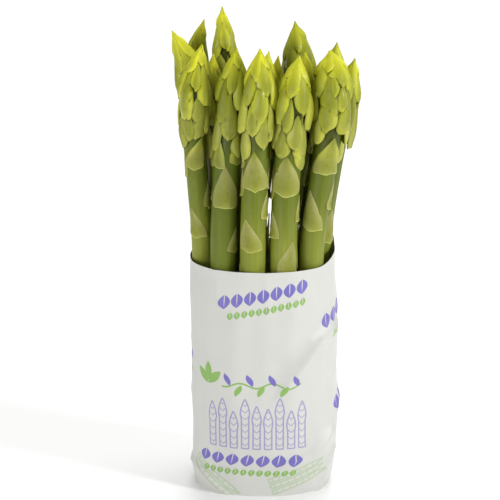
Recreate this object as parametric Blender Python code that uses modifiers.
"""A bunch of green asparagus standing on its cut ends in an open paper sleeve.

Metres, +Z up, front towards -Y. The origin is the centre of the middle spear's
cut end, on the surface that the bunch stands on.
"""
import math

import bmesh
import bpy
import numpy as np

MM = 0.001

# ---- driving dimensions ------------------------------------------------------
SLEEVE_HEIGHT = 113.5 * MM
SLEEVE_CENTRE = (3.6 * MM, 6.2 * MM)      # the middle of the sleeve, seen from above
PAPER = 0.35 * MM                         # thicker than real paper, so that it is a sturdy solid
SPREAD = 1.035                            # how much wider the spears stand at the rim than at the feet
NECK_HEIGHT = 168 * MM                    # where the heads begin to lean their own way
HEAD_LENGTH = 52 * MM                     # from the tip down to the plain stem
FOOT_STRAIGHT = 2 * MM                    # the cut end is square to the surface it stands on
RING_STEP = 9 * MM
SIDES_SETTING = 4                         # a bevel resolution of 4 gives twelve sides

# One row for each spear, in millimetres, rows from the front to the back and left to right:
# name, foot (x, y), neck (x, y), tip (x, y, z), stem radius, head radius, blunt head
SPEARS = [
    ("spear_front_1", (-23.6, 3.6), (-27.6, -1.4), (-23.9, -4.3, 219.0), 5.0, 6.8, False),
    ("spear_front_2", (-14.0, -8.0), (-12.4, -8.3), (-8.0, -7.8, 218.0), 6.1, 6.7, False),
    ("spear_front_3", (-0.7, -12.2), (0.8, -14.3), (2.4, -16.8, 220.0), 6.1, 7.2, False),
    ("spear_front_4", (13.2, -10.8), (15.6, -13.0), (20.6, -15.8, 216.5), 6.3, 7.6, False),
    ("spear_front_5", (26.0, -5.2), (33.2, -6.6), (34.2, -7.8, 217.0), 5.8, 8.2, True),
    ("spear_second_1", (-12.6, 4.4), (-18.0, 5.8), (-19.0, 7.7, 212.0), 5.2, 5.7, False),
    ("spear_second_2", (0.0, 0.0), (2.0, -1.2), (6.6, -2.8, 215.5), 5.5, 5.7, False),
    ("spear_second_3", (13.6, 1.8), (20.2, 2.0), (23.3, 2.2, 214.0), 5.7, 6.0, False),
    ("spear_second_4", (30.0, 7.0), (37.8, 7.8), (46.9, 8.2, 209.5), 5.7, 6.7, False),
    ("spear_third_1", (-22.2, 14.2), (-24.2, 15.8), (-39.0, 17.2, 220.5), 5.3, 6.2, False),
    ("spear_third_2", (-9.4, 15.0), (-11.8, 17.7), (-15.1, 18.2, 232.0), 5.1, 5.0, False),
    ("spear_third_3", (1.0, 13.7), (5.2, 11.8), (11.2, 9.7, 210.5), 4.7, 4.9, False),
    ("spear_third_4", (14.8, 14.7), (19.2, 18.0), (18.9, 20.2, 224.5), 5.7, 6.8, False),
    ("spear_third_5", (26.0, 19.0), (32.2, 22.6), (39.1, 24.2, 213.5), 5.6, 6.3, False),
    ("spear_back_1", (-16.2, 23.2), (-24.8, 27.0), (-23.5, 28.7, 223.5), 5.1, 5.0, False),
    ("spear_back_2", (-4.0, 25.8), (-6.2, 30.6), (-7.8, 32.7, 202.5), 5.4, 5.8, False),
    ("spear_back_3", (13.2, 26.3), (14.2, 31.2), (14.6, 34.2, 201.0), 5.4, 5.8, False),
]

# The outline of a head: millimetres below the tip, and part of the head's radius there.
POINTED_HEAD = [(0, 0.10), (3, 0.27), (7.5, 0.53), (12.5, 0.75), (17.5, 0.91), (22, 1.0),
                (30, 0.97), (40, 0.93)]
BLUNT_HEAD = [(0, 0.12), (1.5, 0.30), (3.5, 0.48), (6.5, 0.68), (10, 0.88), (15, 1.0),
              (25, 1.0), (38, 0.92)]
HEAD_FOOT = 46 * MM                       # below here the head has narrowed into the stem

# The sleeve from the hem to the rim: part of its height, middle x, half its width, and half its
# depth at the front, in millimetres. It bulges a little where the hand closes the paper.
SLEEVE_LEVELS = [(0.0, 0.4, 33.6, 26.2), (0.18, 1.4, 34.7, 26.4), (0.38, 1.5, 34.8, 26.6),
                 (0.6, 1.0, 34.5, 26.6), (0.8, 0.6, 34.4, 26.6), (1.0, 0.0, 34.3, 26.6)]
BACK_DEPTH = 27.6 * MM
FRONT_ROUNDNESS = 2.2                     # 2 is an ellipse, more is squarer
BACK_ROUNDNESS = 2.5
SLEEVE_SIDES = 64
RIM_RISE = 4.0 * MM                       # the paper's side fold stands up at the right of the rim
RIM_RISE_ANGLE = math.radians(12)         # from +X towards the back
RIM_RISE_WIDTH = math.radians(20)

SPEAR_GREEN = (0.36, 0.44, 0.07)
BACK_SPEAR_GREEN = (0.27, 0.34, 0.05)
SLEEVE_WHITE = (0.82, 0.82, 0.79)


def clear_scene():
    for old in list(bpy.data.objects):
        bpy.data.objects.remove(old, do_unlink=True)


def material(name, colour, roughness):
    made = bpy.data.materials.new(name)
    made.use_nodes = True
    shader = made.node_tree.nodes["Principled BSDF"]
    shader.inputs["Base Color"].default_value = (*colour, 1.0)
    shader.inputs["Roughness"].default_value = roughness
    shader.inputs["Metallic"].default_value = 0.0
    made.diffuse_color = (*colour, 1.0)
    return made


def add_object(name, data, collection, finish):
    made = bpy.data.objects.new(name, data)
    collection.objects.link(made)
    made.data.materials.append(finish)
    return made


# ---- spears ------------------------------------------------------------------
def bent_line(foot, neck, tip, centre, top):
    """One coordinate of a spear's middle line: straight inside the sleeve, then a smooth bend
    through the neck to the tip. Returns a function of the height."""
    mouth = centre + SPREAD * (foot - centre)
    slope = (mouth - foot) / SLEEVE_HEIGHT
    to_neck = NECK_HEIGHT - SLEEVE_HEIGHT
    to_tip = top - SLEEVE_HEIGHT
    powers = [[to_neck ** 2, to_neck ** 3], [to_tip ** 2, to_tip ** 3]]
    left_over = [neck - mouth - slope * to_neck, tip - mouth - slope * to_tip]
    square, cube = np.linalg.solve(powers, left_over)

    def at(height):
        above = max(height - SLEEVE_HEIGHT, 0.0)
        return foot + slope * height + square * above ** 2 + cube * above ** 3
    return at


def head_rings(top, stem_radius, head_radius, blunt):
    """Heights and radii of the rings of a head, from its foot up to its tip."""
    outline = BLUNT_HEAD if blunt else POINTED_HEAD
    lowest = outline[-1][1] * head_radius
    rings = [(top - HEAD_LENGTH, stem_radius), (top - HEAD_FOOT, (stem_radius + lowest) / 2)]
    for below, part in reversed(outline):
        rings.append((top - below * MM, part * head_radius))
    return rings


def spear_rings(row):
    """Centre and radius of every ring of a spear, from the cut end to the tip."""
    name, foot, neck, tip, stem_radius, head_radius, blunt = row
    top = tip[2] * MM
    along_x = bent_line(foot[0] * MM, neck[0] * MM, tip[0] * MM, SLEEVE_CENTRE[0], top)
    along_y = bent_line(foot[1] * MM, neck[1] * MM, tip[1] * MM, SLEEVE_CENTRE[1], top)
    rings = [((foot[0] * MM, foot[1] * MM, 0.0), stem_radius * MM),
             ((foot[0] * MM, foot[1] * MM, FOOT_STRAIGHT), stem_radius * MM)]
    head_start = top - HEAD_LENGTH
    steps = max(2, round((head_start - SLEEVE_HEIGHT) / RING_STEP))
    heights = [SLEEVE_HEIGHT * 0.5]
    heights += [SLEEVE_HEIGHT + (head_start - SLEEVE_HEIGHT) * step / steps for step in range(steps)]
    for height in heights:
        rings.append(((along_x(height), along_y(height), height), stem_radius * MM))
    for height, radius in head_rings(top, stem_radius * MM, head_radius * MM, blunt):
        rings.append(((along_x(height), along_y(height), height), radius))
    return rings


def make_spear(row, collection):
    """A spear grew as one piece, so it is one tube with a closed cut end and a closed tip."""
    rings = spear_rings(row)
    curve = bpy.data.curves.new(row[0], "CURVE")
    curve.dimensions = "3D"
    curve.bevel_depth = 1.0
    curve.bevel_resolution = SIDES_SETTING
    curve.use_fill_caps = True
    curve.twist_mode = "MINIMUM"
    line = curve.splines.new("POLY")
    line.points.add(len(rings) - 1)
    for point, (centre, radius) in zip(line.points, rings):
        point.co = (*centre, 1.0)
        point.radius = radius
    colour = BACK_SPEAR_GREEN if "back" in row[0] or "third" in row[0] else SPEAR_GREEN
    return add_object(row[0], curve, collection, material(row[0], colour, 0.45))


# ---- sleeve ------------------------------------------------------------------
def level(part):
    """Middle x and the half sizes of the sleeve at a part of its height."""
    parts = [row[0] for row in SLEEVE_LEVELS]
    return [np.interp(part, parts, [row[column] for row in SLEEVE_LEVELS]) * MM for column in (1, 2, 3)]


def rounded(value, roundness):
    return math.copysign(abs(value) ** (2 / roundness), value)


def sleeve_point(angle, part):
    """A point on the outside of the paper. Angle 0 is +X, and the front is at -90 degrees."""
    middle, half_width, front_depth = level(part)
    front = math.sin(angle) < 0
    roundness = FRONT_ROUNDNESS if front else BACK_ROUNDNESS
    depth = front_depth if front else BACK_DEPTH
    away = (angle - RIM_RISE_ANGLE + math.pi) % (2 * math.pi) - math.pi
    rise = RIM_RISE * math.exp(-(away / RIM_RISE_WIDTH) ** 2) * part ** 4
    return (SLEEVE_CENTRE[0] + middle + half_width * rounded(math.cos(angle), roundness),
            SLEEVE_CENTRE[1] + depth * rounded(math.sin(angle), roundness),
            SLEEVE_HEIGHT * part + rise)


def make_sleeve(collection):
    """An open tube of paper: one ring of edges, pulled up level by level, then given thickness."""
    shape = bmesh.new()
    bmesh.ops.create_circle(shape, segments=SLEEVE_SIDES, radius=1.0)
    shape.verts.ensure_lookup_table()
    angles = [2 * math.pi * number / SLEEVE_SIDES for number in range(SLEEVE_SIDES)]
    ring = list(shape.verts)
    edges = list(shape.edges)
    for vertex, angle in zip(ring, angles):
        vertex.co = sleeve_point(angle, 0.0)
    for row in SLEEVE_LEVELS[1:]:
        pulled = bmesh.ops.extrude_edge_only(shape, edges=edges)["geom"]
        above = [item for item in pulled if isinstance(item, bmesh.types.BMVert)]
        edges = [item for item in pulled if isinstance(item, bmesh.types.BMEdge)]
        below = {vertex: number for number, vertex in enumerate(ring)}
        found = {}
        for vertex in above:
            for edge in vertex.link_edges:
                other = edge.other_vert(vertex)
                if other in below:
                    found[below[other]] = vertex
        ring = [found[number] for number in range(SLEEVE_SIDES)]
        for vertex, angle in zip(ring, angles):
            vertex.co = sleeve_point(angle, row[0])
    bmesh.ops.recalc_face_normals(shape, faces=shape.faces)
    mesh = bpy.data.meshes.new("sleeve")
    shape.to_mesh(mesh)
    shape.free()
    mesh.shade_smooth()
    sleeve = add_object("sleeve", mesh, collection, material("sleeve_paper", SLEEVE_WHITE, 0.5))
    wall = sleeve.modifiers.new("paper", "SOLIDIFY")
    wall.thickness = PAPER
    wall.offset = -1.0
    return sleeve


def main():
    clear_scene()
    collection = bpy.data.collections.new("asparagus_bundle")
    bpy.context.scene.collection.children.link(collection)
    for row in SPEARS:
        make_spear(row, collection)
    make_sleeve(collection)


main()
